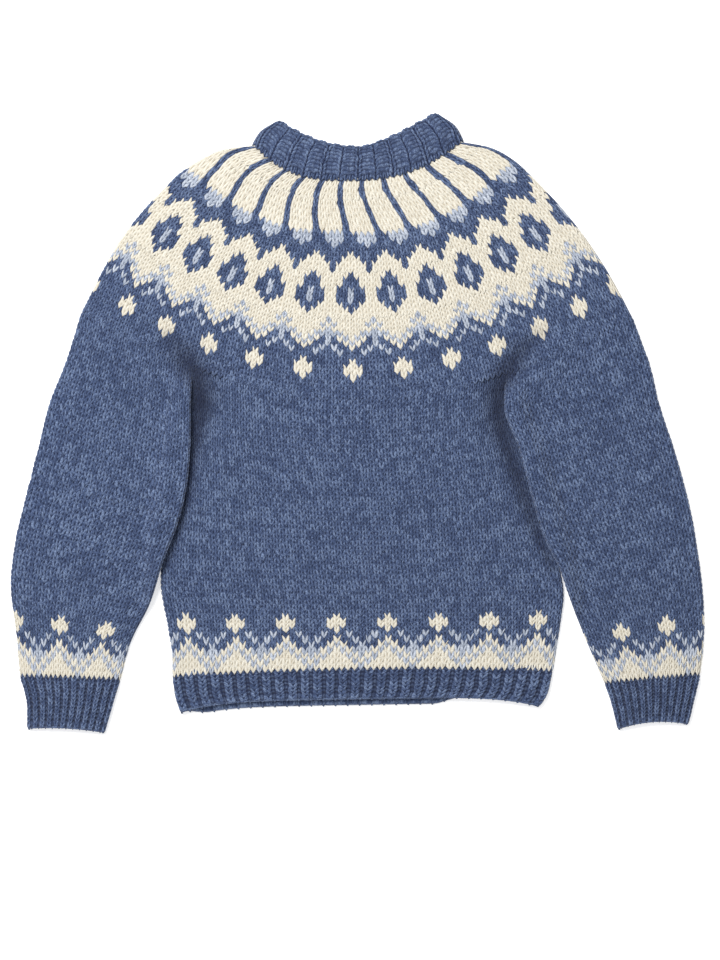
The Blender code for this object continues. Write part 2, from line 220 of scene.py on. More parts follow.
def valley_dip(points):
    """How deep in the valleys some points of the front layer are, from 0 to 1."""
    dip = np.zeros(len(points))
    for valley in (LEFT_VALLEY, RIGHT_VALLEY):
        for start, end in zip(valley, valley[1:]):
            along = np.array([end.x - start.x, end.y - start.y], float)
            from_start = points[:, :2] - (start.x, start.y)
            share = np.clip(from_start @ along / (along @ along), 0, 1)
            away = np.linalg.norm(from_start - share[:, None] * along, axis=1)
            half_width = start.half_width + share * (end.half_width - start.half_width)
            depth = start.depth + share * (end.depth - start.depth)
            dip = np.maximum(dip, depth * np.exp(-((away / half_width) ** 2)))
    return dip


def loft(points, edge_distance):
    """Height of the front layer above where it would lie pressed flat, with its folds."""
    free = smoothstep(edge_distance / LOFT_EDGE)
    return np.clip(free * (FRONT_LOFT + fold_relief(points[:, 0], points[:, 1])), 0, LOFT_MOST)


class Cloth:
    """The outer face of a flattened tube. A place on it is t, the share of the way down it, and w,
    which runs from 0 to 1 across the front from left to right and from 1 to 2 back across the back.
    """

    ROWS, AROUND = 161, 641

    def __init__(
        self, front, back=None, wall=WALL, floor=None,
        flat_edge=0.0, widest=None, lean=None, valley_reach=0.0,
    ):
        back = back or front
        self.lean = lean or (lambda t, w: 0.0)
        self.valley_reach = valley_reach
        floor = floor or (lambda points, t: np.zeros(len(points)))
        wall_at = wall if callable(wall) else (lambda t: wall)
        shape = (floor, flat_edge, widest)
        places = np.linspace(0, 1, self.ROWS)
        self.points = np.array([self.section(front, back, t, wall_at(t), *shape) for t in places])
        down = np.gradient(self.points, axis=0)
        around = np.gradient(self.points, axis=1)
        normal = np.cross(down, around)
        normal /= np.linalg.norm(normal, axis=2, keepdims=True) + 1e-9
        middle = self.AROUND // 4
        self.normals = normal * np.sign(normal[self.ROWS // 2, middle, 2])

    def dip(self, points, t):
        """How deep in the valleys some points are, as far down the tube as the valleys reach."""
        if not self.valley_reach:
            return np.zeros(len(points))
        return valley_dip(points) * (1 - smoothstep(t / self.valley_reach))

    def section(self, front, back, t, wall, floor, flat_edge, widest):
        """Points all round the tube at t."""
        half = wall + LAYER_GAP / 2
        ends = front(np.array([0.0, 1.0]), t)
        width = float(np.linalg.norm(ends[1] - ends[0]))
        inset = half / width
        quarter = math.pi / 2 * half
        length = width - 2 * half + 2 * quarter
        w = np.linspace(0, 2, self.AROUND)
        share = np.where(w <= 1, w, 2 - w)
        if widest:
            # The columns keep the spacing of the widest row, and crowd only at the side folds
            spread = widest / width
            off = 2 * share - 1
            share = 0.5 + (spread * off - (spread - 1) * np.abs(off) ** 3 * off) / 2
        run = share * length
        a = inset + (1 - 2 * inset) * np.clip((run - quarter) / (length - 2 * quarter), 0, 1)
        on_front = w <= 1
        plan = np.where(on_front[:, None], front(a, t), back(a, t))
        edge = np.minimum(a, 1 - a) * width - half - flat_edge
        z = np.where(on_front, 2 * half + loft(plan, edge), 0.0)
        for side, from_rim in ((0, run), (1, length - run)):
            folded = from_rim < quarter
            centre = front(np.array([inset if side == 0 else 1 - inset]), t)[0]
            out = (ends[side] - centre) / np.linalg.norm(ends[side] - centre)
            turn = from_rim / half
            at = centre + np.outer(half * np.cos(turn), out)
            plan = np.where(folded[:, None], at, plan)
            up = np.where(on_front, 1.0, -1.0)
            z = np.where(folded, half + up * half * np.sin(turn), z)
        return np.column_stack([plan, z * (1 - VALLEY_SINK * self.dip(plan, t)) + floor(plan, t)])

    def read(self, grid, t, w):
        """Values of a grid at places t and w, carried on in a straight line past its ends."""
        row = t * (self.ROWS - 1)
        i = np.clip(np.floor(row).astype(int), 0, self.ROWS - 2)
        down = (row - i)[..., None]
        column = (w % 2) / 2 * (self.AROUND - 1)
        j = np.clip(np.floor(column).astype(int), 0, self.AROUND - 2)
        across = (column - j)[..., None]
        upper = grid[i, j] * (1 - across) + grid[i, j + 1] * across
        lower = grid[i + 1, j] * (1 - across) + grid[i + 1, j + 1] * across
        return upper * (1 - down) + lower * down


# A stitch is a V of two legs. The rows slant up from the middle of each V to its sides.
SLANT = 0.8  # rows that a leg climbs from the middle of its stitch to its side
STITCH_RISE = 1.9  # height of a leg's back above the hollows beside it
STITCH_WIDTH, ROW_HEIGHT = 7.6, 5.9
LEG_STEPS, ROW_STEPS = 3, 4  # mesh steps along and across a leg on the front
TUCK, TUCK_RUN = 0.1, 0.5  # rows before the next part's feet at which a row begins to sink, and in
# which it does so
SUNK = 1.8  # how far a row that is tucked under the next part lies below it
BLUNT = 1.4  # above 1 the tops of the legs are blunt and their feet sharp
YARNS = "bcp"  # blue, cream and pale blue
FIBRE_RISE = 0.3  # rows more that the fibres climb along a leg than the leg does
LEG_RISE = (SLANT + FIBRE_RISE) * ROW_HEIGHT
LEG_RUN = math.hypot(STITCH_WIDTH / 2, LEG_RISE)
LEG_X, LEG_Y = STITCH_WIDTH / 2 / LEG_RUN, LEG_RISE / LEG_RUN


# The relief of a stitch, as shares of its rise. It shapes the mesh and also sets the painted shade
# of its hollows. The two legs of a V join in a heel, with a hole above it and a gap beside their
# tops, each at a place in rows from the foot of its row.
ROPE_LEAST, LANE_LEAST = 0.5, 0.3  # height of a leg's edges, along its row and across it
HEEL, HEEL_AT, HEEL_WIDTH = 0.75, 0.3, 0.4
HOLE, HOLE_AT = 0.55, -0.1
GAP, GAP_AT = 0.4, 0.1
SPOT = 0.25  # how far each reaches
PURL_LEAST, PURL_RISE = 0.25, 0.6


def near(value, middle, width):
    """1 at a middle value, falling away to 0 either side of it."""
    return np.exp(-(((value - middle) / width) ** 2))


def knit_height(p, q):
    """Height of a leg, p of the way from the middle of its stitch and q of the way up its row."""
    from_row = np.where(q < 0.5, q, q - 1)
    rope = ROPE_LEAST + (1 - ROPE_LEAST) * np.clip(np.sin(math.pi * q), 0, 1) ** 0.6
    lane = LANE_LEAST + (1 - LANE_LEAST) * np.clip(np.sin(math.pi * p), 0, 1) ** 0.8
    heel = HEEL * near(q, HEEL_AT, SPOT) * near(p, 0, HEEL_WIDTH)
    hole = HOLE * near(p, 0, SPOT) * near(from_row, HOLE_AT, SPOT)
    gap = GAP * near(p, 1, SPOT) * near(from_row, GAP_AT, SPOT)
    return rope * np.maximum(lane, heel) - hole - gap


def purl_height(p, q):
    """Height of a purl bump, which lies across its column."""
    return PURL_LEAST + PURL_RISE * np.clip(np.sin(math.pi * q), 0, 1) ** 0.8 * (1 - 0.5 * p * p)


def soft_noise(rng, rows, columns, v, u):
    """A random value at each whole row and column, read smoothly between them."""
    values = rng.standard_normal((rows + 4, columns + 4))
    i = np.clip(np.floor(v).astype(int) + 1, 0, rows + 2)
    j = np.clip(np.floor(u).astype(int) + 1, 0, columns + 2)
    a, b = smoothstep(v - i + 1), smoothstep(u - j + 1)
    low = values[i, j] * (1 - b) + values[i, j + 1] * b
    high = values[i + 1, j] * (1 - b) + values[i + 1, j + 1] * b
    return low * (1 - a) + high * a


# A rib: its columns, + for knit and - for purl, how far the knit ones stand above plain knitting, how
# far the purl ones lie below them, how far the knit ones spread over them and how deep the line
# down the middle of each knit one is
Rib = namedtuple("Rib", "columns rise depth spread split")
PURL_ARCH = 0.25  # rows by which the middle of a purl bump stands higher than its ends
PLAIN = Rib("+", 0.0, 0.0, 0.0, 0.0)
RIB_FADE = 1.6  # rows over which a rib begins
RIB_FADE_FROM = 0.4  # the row that it begins at, where it is knitted on to plain rows below it

# A part of a piece with the same number of stitches in every row: stitches across the front, where
# the first of them lies, first row and rows, chart from the bottom up, and its rib. A flat foot is
# a cast-on edge and a flat top is a folded one.
STRIP_WORDS = "across phase first rows chart rib flat_foot flat_top"
Strip = namedtuple("Strip", STRIP_WORDS, defaults=[PLAIN, False, False])


def rib_relief(strip, u, v):
    """How far a ribbed strip lies below plain knitting, less where it joins the next part."""
    period = len(strip.rib.columns)
    away = np.abs((u + period / 2) % period - period / 2)
    from_seam = v - RIB_FADE_FROM if strip.flat_top else strip.rows - v
    sink = strip.rib.depth * (0.5 - 0.5 * np.cos(math.pi * np.clip(away, 0, 1))) - strip.rib.rise
    return sink * smoothstep(from_seam / RIB_FADE)


def rib_spread(strip, u):
    """How far the knit columns of a rib spread over its purl ones, in stitches."""
    return strip.rib.spread * np.sin(2 * math.pi * u / len(strip.rib.columns))


def face_corners(grid):
    """What a grid holds at the four corners of each of its faces."""
    return np.stack([grid[:-1, :-1], grid[:-1, 1:], grid[1:, 1:], grid[1:, :-1]], axis=-1)


SHADE_RUN = 7  # stitches over which a strand keeps its shade
STRAND_TONE, STITCH_TONE, LEG_TONE = 0.12, 0.33, 0.55  # how much of a leg's shade each one decides


def wool_tones(rng, strip, knit_row, stitch_place, side):
    """Random shades of some faces: of the leg alone, and of leg, stitch and strand together."""
    tones = rng.random((strip.rows + 3, int(strip.across) + 6, 2))
    strands = rng.random((strip.rows + 3, int(strip.across) // SHADE_RUN + 4))
    leg = tones[knit_row, stitch_place, (side > 0).astype(int)]
    place = stitch_place / SHADE_RUN
    before = place.astype(int)
    strand = strands[knit_row, before] * (1 - place + before)
    strand = strand + strands[knit_row, before + 1] * (place - before)
    tone = STRAND_TONE * strand + STITCH_TONE * tones[knit_row, stitch_place, 0] + LEG_TONE * leg
    return leg, tone


WOBBLE_ROWS, WOBBLE_COLUMNS, WOBBLE_HEIGHT = 0.11, 0.08, 0.12  # how unevenly the stitches lie
BACK_HEIGHT = 0.9  # of the back's flat mesh, whose stitches are in its material as bumps and painted shade
LEG_SHIFT, TONE_SHIFT = 97, 61  # millimetres, so that no two legs show the same stretch of yarn
VALLEY_PAINTED_SHADOW = 1.12  # painted shadow in a valley, for each unit of the valley's depth
RIB_PAINTED_SHADE = 0.22  # painted shade of the purl columns, for each millimetre that they are down
CREST_LEAST = -0.6


def feet(cloth, t, across, phase):
    """Where the stitches of a row have their feet: their places across the front and columns."""
    u = np.arange(math.ceil(-phase), math.floor(across - phase) + 1)
    t = np.full(len(u), float(t))
    w = (u + phase) / across
    return cloth.read(cloth.points, t, w + cloth.lean(t, w))[:, 0], u


def knit(cloth, strip, t_of_row, back, seed, place, above=None):
    """The front or the back of a strip as a grid of points with its faces and what they carry. Its
    top row is tucked under the feet of the row above.
    """
    rng = np.random.default_rng(seed)
    start = (strip.across if back else 0) - strip.phase
    end = start + strip.across
    step = 0.5 if back else 0.5 / LEG_STEPS
    tuck = 0.5 if back else 0.0
    lines = np.arange(math.ceil((start - tuck) / step), math.floor((end + tuck) / step) + 1) * step
    lines = np.unique(np.concatenate([[start - tuck, end + tuck], lines]).round(6))
    row_steps = 1 if back else ROW_STEPS
    tucked_rows = 0 if strip.flat_top else 1
    levels = np.arange((strip.rows + tucked_rows) * row_steps + 1) / row_steps
    u, v = np.meshgrid(lines, levels)
    column = np.round(u)
    p = 2 * np.abs(u - column)
    q = v - np.floor(v + 1e-6)

    is_purl = np.array([c == "-" for c in strip.rib.columns])
    is_purl = is_purl[column.astype(int) % len(strip.rib.columns)]
    leg_rise = 1 - (1 - p) ** BLUNT
    arch_rise = 1 + PURL_ARCH * (1 - p * p)
    begun = smoothstep(v) if strip.flat_top else 1.0
    slant = SLANT * np.where(is_purl, leg_rise + (arch_rise - leg_rise) * begun, leg_rise)
    purl = is_purl & (v >= 1) if strip.flat_top else is_purl
    if strip.flat_foot:
        slant = slant * smoothstep(v)
    if strip.flat_top:
        slant = slant * smoothstep(strip.rows - v)
    noise_at = (strip.rows + 2, len(lines), v, u - start)
    wobble_v = WOBBLE_ROWS * soft_noise(rng, *noise_at)
    wobble_u = WOBBLE_COLUMNS * soft_noise(rng, *noise_at)
    edge = smoothstep(np.minimum(u - start, end - u)) * (v < strip.rows)
    row = strip.first + v + slant + wobble_v * edge * (v > 0)
    w = (u + wobble_u * edge + rib_spread(strip, u) + strip.phase) / strip.across
    if back:
        height = np.full_like(u, BACK_HEIGHT)
    else:
        split = strip.rib.split * near(p, 0, SPOT)
        height = np.where(purl, purl_height(p, q), knit_height(p, q) - split)
        height *= 1 + WOBBLE_HEIGHT * soft_noise(rng, *noise_at)

    ribs = rib_relief(strip, u, v)
    t = t_of_row(row)
    w = w + cloth.lean(t, w)
    base = cloth.read(cloth.points, t, w)
    top = strip.first + strip.rows
    if above is not None and not back:
        over_u = np.interp(base[..., 0], *above)
        over_p = 2 * np.abs(over_u - np.round(over_u))
        top = top + SLANT * (1 - (1 - over_p) ** BLUNT)
    sunk = SUNK * smoothstep((row - top + TUCK) / TUCK_RUN) * tucked_rows
    if back:
        sunk = sunk + SUNK * ((u < start) | (u > end))
    offset = STITCH_RISE * (height - 1) - ribs - sunk
    points = base + cloth.read(cloth.normals, t, w) * offset[..., None]
    dip = np.zeros(t.size) if back else cloth.dip(points.reshape(-1, 3), t.reshape(-1))

    stitch = np.round((u[:-1, :-1] + u[:-1, 1:]) / 2)
    side = np.sign((u[:-1, :-1] + u[:-1, 1:]) / 2 - stitch)
    knit_row = np.floor(v[:-1, :-1] + 1e-6).astype(int)
    chart = np.array([[YARNS.index(c) for c in line] for line in strip.chart])
    yarn = chart[np.clip(knit_row, 0, len(chart) - 1), stitch.astype(int) % chart.shape[1]]
    stitch_place = (stitch - math.floor(start) + 2).astype(int)
    leg, tone = wool_tones(rng, strip, knit_row, stitch_place, side)

    corner_u, corner_v = face_corners(u), face_corners(v)
    leg_p = 2 * np.abs(corner_u - stitch[..., None])
    leg_q = corner_v - knit_row[..., None]
    x = leg_p * STITCH_WIDTH / 2
    y = (leg_q + SLANT * leg_p) * ROW_HEIGHT
    along = x * LEG_X + y * LEG_Y + LEG_SHIFT * leg[..., None]
    across = y * LEG_X - x * LEG_Y + TONE_SHIFT * tone[..., None]
    left, low, wide, high = place
    bake_u = left + wide * (corner_u - lines[0]) / (lines[-1] - lines[0])
    bake_v = low + high * corner_v / levels[-1]
    # painted shade: each point's height, less the purl columns' painted shade, sets how dark it is
    # painted
    painted_shade_height = np.clip(height - RIB_PAINTED_SHADE * (ribs + strip.rib.rise), CREST_LEAST, 1)
    return {
        "points": points.reshape(-1, 3),
        "faces": face_corners(np.arange(u.size).reshape(u.shape)).reshape(-1, 4),
        "yarn": yarn.reshape(-1),
        "tone": tone.reshape(-1),
        "painted_shade_height": painted_shade_height.reshape(-1),
        # painted shadow of the valleys, as a share of the way to the shadow colour
        "valley": VALLEY_PAINTED_SHADOW * dip,
        "plain": np.full(yarn.size, 1.0 if back else 0.0),
        "yarn_uv": np.stack([along, across], axis=-1).reshape(-1, 4, 2),
        "stitch_uv": np.stack([leg_p, leg_q], axis=-1).reshape(-1, 4, 2),
        "bake_uv": np.stack([bake_u, bake_v], axis=-1).reshape(-1, 4, 2),
    }


FRONT_SHARE = 0.8  # of a piece's colour map that its front takes
EDGE_LOW = 0.93  # what is above this in the colour map is kept for an open edge
MAP_RIM, MAP_GAP = 0.001, 0.002  # at the sides of the colour map, and beside its middle


def knit_piece(cloth, strips, t_of_row, seed, above=None):
    """Front and back of every strip of a piece, each with its own place in the colour map."""
    parts = []
    total = sum(strip.rows + 2 for strip in strips) / EDGE_LOW
    low = 0.0
    for number, strip in enumerate(strips):
        high = (strip.rows + 1.5) / total
        front_place = (MAP_RIM, low, FRONT_SHARE - 2 * MAP_GAP, high)
        back_place = (FRONT_SHARE + MAP_GAP, low, 1 - 2 * MAP_GAP - FRONT_SHARE, high)
        over = above
        if number + 1 < len(strips):
            upper = strips[number + 1]
            over = feet(cloth, t_of_row(upper.first), upper.across, upper.phase)
        parts.append(knit(cloth, strip, t_of_row, False, seed + 2 * number, front_place, over))
        parts.append(knit(cloth, strip, t_of_row, True, seed + 2 * number + 1, back_place))
        low += (strip.rows + 2) / total
    return parts


RESTS_AT = 0.1  # height of the underside, which lies on the table


def make_mesh(name, parts):
    """One mesh object from the parts of a piece, in metres."""
    counts = np.cumsum([0] + [len(part["points"]) for part in parts])
    points = np.concatenate([part["points"] for part in parts]) * MM
    points[:, 2] = np.maximum(points[:, 2], RESTS_AT * MM)
    faces = np.concatenate([part["faces"] + n for part, n in zip(parts, counts)])
    mesh = bpy.data.meshes.new(name)
    mesh.vertices.add(len(points))
    mesh.vertices.foreach_set("co", points.ravel())
    mesh.loops.add(faces.size)
    mesh.loops.foreach_set("vertex_index", faces.ravel())
    mesh.polygons.add(len(faces))
    mesh.polygons.foreach_set("loop_start", np.arange(len(faces)) * 4)
    mesh.polygons.foreach_set("material_index", np.concatenate([p["yarn"] for p in parts]))
    for layer, key in (("OFBake", "bake_uv"), ("Yarn", "yarn_uv"), ("Stitch", "stitch_uv")):
        uv = mesh.uv_layers.new(name=layer)
        uv.data.foreach_set("uv", np.concatenate([part[key] for part in parts]).ravel())
    domains = {"tone": "FACE", "plain": "FACE", "painted_shade_height": "POINT", "valley": "POINT"}
    for attribute, domain in domains.items():
        values = np.concatenate([part[attribute] for part in parts])
        mesh.attributes.new(attribute, "FLOAT", domain).data.foreach_set("value", values)
    mesh.update()
    mesh.validate()
    mesh.shade_smooth()
    piece = bpy.data.objects.new(name, mesh)
    scene.collection.objects.link(piece)
    return piece


class Socket:
    """A value in a material, for sums such as 1 - mask."""

    def __init__(self, paint, out):
        self.paint, self.out = paint, out

    def maths(self, operation, first, second):
        return self.paint.node("ShaderNodeMath", {"operation": operation}, {0: first, 1: second})

    def __add__(self, other):
        return self.maths("ADD", self, other)

    def __mul__(self, other):
        return self.maths("MULTIPLY", self, other)

    def __sub__(self, other):
        return self.maths("SUBTRACT", self, other)

    def __rsub__(self, other):
        return self.maths("SUBTRACT", other, self)

    __radd__ = __add__
    __rmul__ = __mul__

    def arch(self):
        """Rises from 0 to 1 and falls back as the value goes from 0 to 1."""
        return self.maths("SINE", self * math.pi, 0.0)

    def ramp(self, slope, start):
        """The value times a slope from a start, held between 0 and 1."""
        settings = {"operation": "MULTIPLY_ADD", "use_clamp": True}
        return self.paint.node("ShaderNodeMath", settings, {0: self, 1: slope, 2: start})


class Paint:
    """A material that is built a node at a time."""

    def __init__(self, name):
        self.material = bpy.data.materials.new(name)
        self.material.use_nodes = True
        self.tree = self.material.node_tree
        self.shader = self.tree.nodes["Principled BSDF"]

    def node(self, kind, settings=None, inputs=None, output=0):
        """Adds a node with its settings and the values or links of its sockets."""
        node = self.tree.nodes.new(kind)
        for key, value in (settings or {}).items():
            setattr(node, key, value)
        for key, value in (inputs or {}).items():
            self.feed(node.inputs[key], value)
        return Socket(self, node.outputs[output])

    def feed(self, socket, value):
        if isinstance(value, Socket):
            self.tree.links.new(value.out, socket)
        else:
            socket.default_value = value

    def mix(self, factor, first, second):
        """One colour mixed into another."""
        inputs = {0: factor, 6: first, 7: second}
        return self.node("ShaderNodeMix", {"data_type": "RGBA"}, inputs, output=2)

    def attribute(self, name):
        return self.node("ShaderNodeAttribute", {"attribute_name": name}, output="Fac")

    def grain(self, at, fineness, detail):
        """Noise that is finer one way than the other."""
        place = self.node("ShaderNodeVectorMath", {"operation": "MULTIPLY"}, {0: at, 1: fineness})
        inputs = {"Vector": place, "Scale": 1.0, "Detail": detail}
        return self.node("ShaderNodeTexNoise", {"noise_dimensions": "2D"}, inputs)


PAINTED_SHADOW = (0.002, 0.006, 0.028, 1)  # painted shadow colour of the wool down in the valleys
STREAK_GRAIN = (0.32, 1.7, 1.0)  # how fine the streaks are, along a leg and across it
FLECK_GRAIN = (0.5, 0.9, 1.0)
STREAK_SHADE, TONE_SHADE, FLECK_SHADE = 1.6, 0.75, 1.7  # how far each one shifts the colour
HOLLOW, CREST = -0.15, 0.75  # heights between which the painted shade gives way to the wool's own
PAINTED_LEG, PAINTED_ROPE = 0.7, 0.6  # painted relief and shade of the back's stitches, across a leg and along it
STREAK_RELIEF, TWIST_RELIEF, STITCH_RELIEF = 0.8, 0.35, 2.4
RELIEF_STRENGTH, RELIEF_DEPTH = 0.7, 0.6  # the depth is in millimetres
WOOL_LOOKS = {
    "Roughness": 0.92,
    "Specular IOR Level": 0.25,
    "Sheen Weight": 0.2,
    "Sheen Roughness": 0.6,
}


def wool(name, painted_hollow_shade, dark, body, light):
    """Fluffy wool yarn: streaks of lighter and darker fibre along each leg, with painted shade in the
    hollows and painted shadow in the valleys.
    """
    paint = Paint(name)
    yarn = paint.node("ShaderNodeUVMap", {"uv_map": "Yarn"})
    streaks = paint.grain(yarn, STREAK_GRAIN, 3.0)
    flecks = paint.grain(yarn, FLECK_GRAIN, 1.0)
    # painted shade of the hollows and painted shadow of the valleys, carried by the mesh
    tone, painted_shade_height, valley, plain = map(paint.attribute, ("tone", "painted_shade_height", "valley", "plain"))
    stitch = paint.node("ShaderNodeUVMap", {"uv_map": "Stitch"})
    p = paint.node("ShaderNodeSeparateXYZ", None, {0: stitch})
    q = paint.node("ShaderNodeSeparateXYZ", None, {0: stitch}, output=1)
    leg = p.arch() * PAINTED_LEG + (1 - PAINTED_LEG)
    rope = q.arch() * PAINTED_ROPE + (1 - PAINTED_ROPE)
    relief = leg * rope * plain

    shade = (streaks - 0.5) * STREAK_SHADE + (tone - 0.5) * TONE_SHADE
    shade = shade + (flecks - 0.5) * FLECK_SHADE + 0.5
    colour = paint.mix(shade.ramp(-2.0, 1.0), paint.mix(shade.ramp(2.0, -1.0), body, light), dark)
    # painted shade: low places, and the hollows painted on the back's stitches, go toward the hollows'
    # colour
    height = painted_shade_height - plain * BACK_HEIGHT + relief
    inputs = {"Value": height, "From Min": HOLLOW, "From Max": CREST, "To Min": 0.0, "To Max": 1.0}
    height = paint.node("ShaderNodeMapRange", {"interpolation_type": "SMOOTHSTEP"}, inputs)

    settings = {"wave_type": "BANDS", "bands_direction": "DIAGONAL"}
    inputs = {"Vector": yarn, "Scale": 0.28, "Distortion": 2.5, "Detail": 1.0}
    twist = paint.node("ShaderNodeTexWave", settings, inputs)
    fibre = streaks * STREAK_RELIEF + twist * TWIST_RELIEF + relief * STITCH_RELIEF
    inputs = {"Strength": RELIEF_STRENGTH, "Distance": RELIEF_DEPTH * MM, "Height": fibre}
    looks = {
        # painted shade in the hollows, then painted shadow over it in the valleys
        "Base Color": paint.mix(valley, paint.mix(height, painted_hollow_shade, colour), PAINTED_SHADOW),
        "Normal": paint.node("ShaderNodeBump", None, inputs),
    }
    for key, value in (looks | WOOL_LOOKS).items():
        paint.feed(paint.shader.inputs[key], value)
    return paint.material


# Each yarn's colours: painted shade deep in its hollows, of its dark fibres, of most of it and
# of its light fibres
YARN_COLOURS = {
    "blue wool": [
        (0.006, 0.014, 0.049, 1),
        (0.024, 0.042, 0.100, 1),
        (0.056, 0.088, 0.186, 1),
        (0.165, 0.225, 0.360, 1),
    ],
    "cream wool": [
        (0.480, 0.425, 0.330, 1),
        (0.655, 0.610, 0.510, 1),
        (0.705, 0.668, 0.572, 1),
        (0.750, 0.718, 0.630, 1),
    ],
    "pale blue wool": [
        (0.120, 0.145, 0.200, 1),
        (0.300, 0.342, 0.420, 1),
        (0.415, 0.460, 0.550, 1),
        (0.575, 0.617, 0.690, 1),
    ],
}
WOOLS = [wool(name, *colours) for name, colours in YARN_COLOURS.items()]


def finish_piece(name, parts, node):
    """The piece with its yarns, in place of its plain solid."""
    piece = make_mesh(name, parts)
    for material in WOOLS:
        piece.data.materials.append(material)
    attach(piece, "root")
    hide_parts(node)


# Charts, from the bottom row up, each line starting on the middle of a dot or a diamond
DOT_CHART = ["cbbbbbbb", "ccbbbbbc", "ccbbbbbc", "cbbbbbbb"]
YOKE_ZIGZAG_CHART = [
    "bbpbbbpb",
    "cbbpbpbb",
    "pcbbpbbc",
    "cpcbpbcp",
    "ccpppppc",
    "ccccpccc",
    "cccpcpcc",
    "ccccpccc",
]
DIAMOND_CHART = ["bcccccc", "bbccccb", "pbbccbb", "pbbccbb", "pbbccbb", "bbccccb", "bbccccb", "bcccccc"]
SCALLOP_CHART = ["cccbcc", "cccbcc", "ccbbbc", "cbbbbb", "bbbbbb"]
PETAL_FOOT_CHART = ["bbbpb", "bbppp", "bbppp"]
PLAIN_ROW = ["b" * 8]

UNDERARM_STITCHES = 96
UNDERARM_CHART = PLAIN_ROW * 4 + DOT_CHART + PLAIN_ROW
YOKE_STRIPS = [
    Strip(UNDERARM_STITCHES, 0.0, 0, 17, UNDERARM_CHART + YOKE_ZIGZAG_CHART),
    Strip(84, 0.0, 17, 9, ["c" * 7] + DIAMOND_CHART),
    Strip(72, 0.0, 26, 5, SCALLOP_CHART),
    Strip(60, -0.5, 31, 8, PETAL_FOOT_CHART + ["bcccc"] * 5),
    Strip(48, -0.5, 39, 3, ["bccc"] * 3),
]
YOKE_ROWS = [0, 4, 10, 18, 26, 31, 34, 42]
YOKE_ROW_DEPTHS = [263.0, 240.0, 203.2, 159.5, 110.0, 79.5, 63.0, 0.0]


def rows_along(rows, places, length):
    """The share of a piece's length at a row, from rows at known places down it."""
    rows = np.array(list(rows) + [rows[-1] + 2 * (rows[-1] - rows[-2])], float)
    places = np.array(list(places) + [places[-1] + 2 * (places[-1] - places[-2])], float)
    return lambda row: np.interp(row, rows, places) / length


# How the columns lean: to the left near the neck, and away from the middle round the dots, as
# shares of the front's width
NECK_LEAN, NECK_LEAN_FADE, NECK_LEAN_DEPTH = 0.055, 0.45, 70.0
DOT_LEAN, DOT_LEAN_DEPTH, DOT_LEAN_RUN = 0.0125, 60.0, 160.0
MIDDLE_LEAN = 0.004


def yoke_lean(t, w):
    """How far the columns of the yoke lie from even spacing, as a share of the front's width."""
    depth = t * YOKE_DEPTH
    at_neck = 1 - smoothstep(depth / NECK_LEAN_DEPTH)
    at_dots = smoothstep((depth - DOT_LEAN_DEPTH) / DOT_LEAN_RUN)
    neck = NECK_LEAN * smoothstep(np.abs(1 - w) / NECK_LEAN_FADE) * at_neck
    return -neck - MIDDLE_LEAN * (1 - at_neck) - DOT_LEAN * np.sin(2 * math.pi * w) * at_dots


YOKE_FLAT = (1.41, YOKE_DEPTH * MM)  # metres round the underarm, where it is widest, and down
yoke_cloth = Cloth(yoke_point, lean=yoke_lean, valley_reach=math.inf)
yoke_rows = rows_along(YOKE_ROWS, YOKE_ROW_DEPTHS, YOKE_DEPTH)
yoke_parts = knit_piece(yoke_cloth, YOKE_STRIPS, yoke_rows, 100)
finish_piece("knitted_yoke", yoke_parts, "yoke")

# The neckband: knitted twice as long in rib of one knit and two purl stitches, folded in and sewn
# down inside, so it is thicker than the rest and its top edge is a soft fold.
SEAM_GAP = 0.3  # between pieces that are knitted or sewn to each other
BAND_WALL = 5.6
BAND_FOOT_WALL = 4.8  # just above its seam
BAND_TOP = Ring("top of the neckband", 4, 331, -99.5, 366.5, 99.5, 375, 2.2, 1.35)
Section = namedtuple("Section", "left_x left_y right_x right_y")
BAND_SIDES = [Section(-116, 353, 117, 360), Section(-99.5, 366.5, 99.5, 375)]
BAND_LENGTH = 43.0
BAND_STITCHES, BAND_ROWS = 39, 10
BAND_CORNER = 5.0  # radius of the corners of the top edge
BAND_TOP_LENGTH = 205.0  # from corner to corner
K1P2 = Rib("+--", 0.5, 0.6, 0.12, 0.5)


def fold_curve(start, places):
    """A side fold as a function of the share of its length, down from its start."""
    points = np.array([start] + places, float)
    run = np.concatenate([[0], np.cumsum(np.hypot(*np.diff(points, axis=0).T))])
    return lambda t: read_smoothly(run / run[-1], points, t)


def side_folds(top, sections):
    """The left and the right side fold below a top edge."""
    left, right = top(np.array([0.0, 1.0]))
    left_places = [(section.left_x, section.left_y) for section in sections]
    right_places = [(section.right_x, section.right_y) for section in sections]
    return fold_curve(left, left_places), fold_curve(right, right_places)


def patch(top, bottom, left, right):
    """A surface between four edges: points at shares a across and t down."""

    def point(a, t):
        across = np.outer(1 - a, left(t)) + np.outer(a, right(t))
        at_top = np.outer(1 - a, left(0.0)) + np.outer(a, right(0.0))
        at_bottom = np.outer(1 - a, left(1.0)) + np.outer(a, right(1.0))
        return across + (1 - t) * (top(a) - at_top) + t * (bottom(a) - at_bottom)

    return point


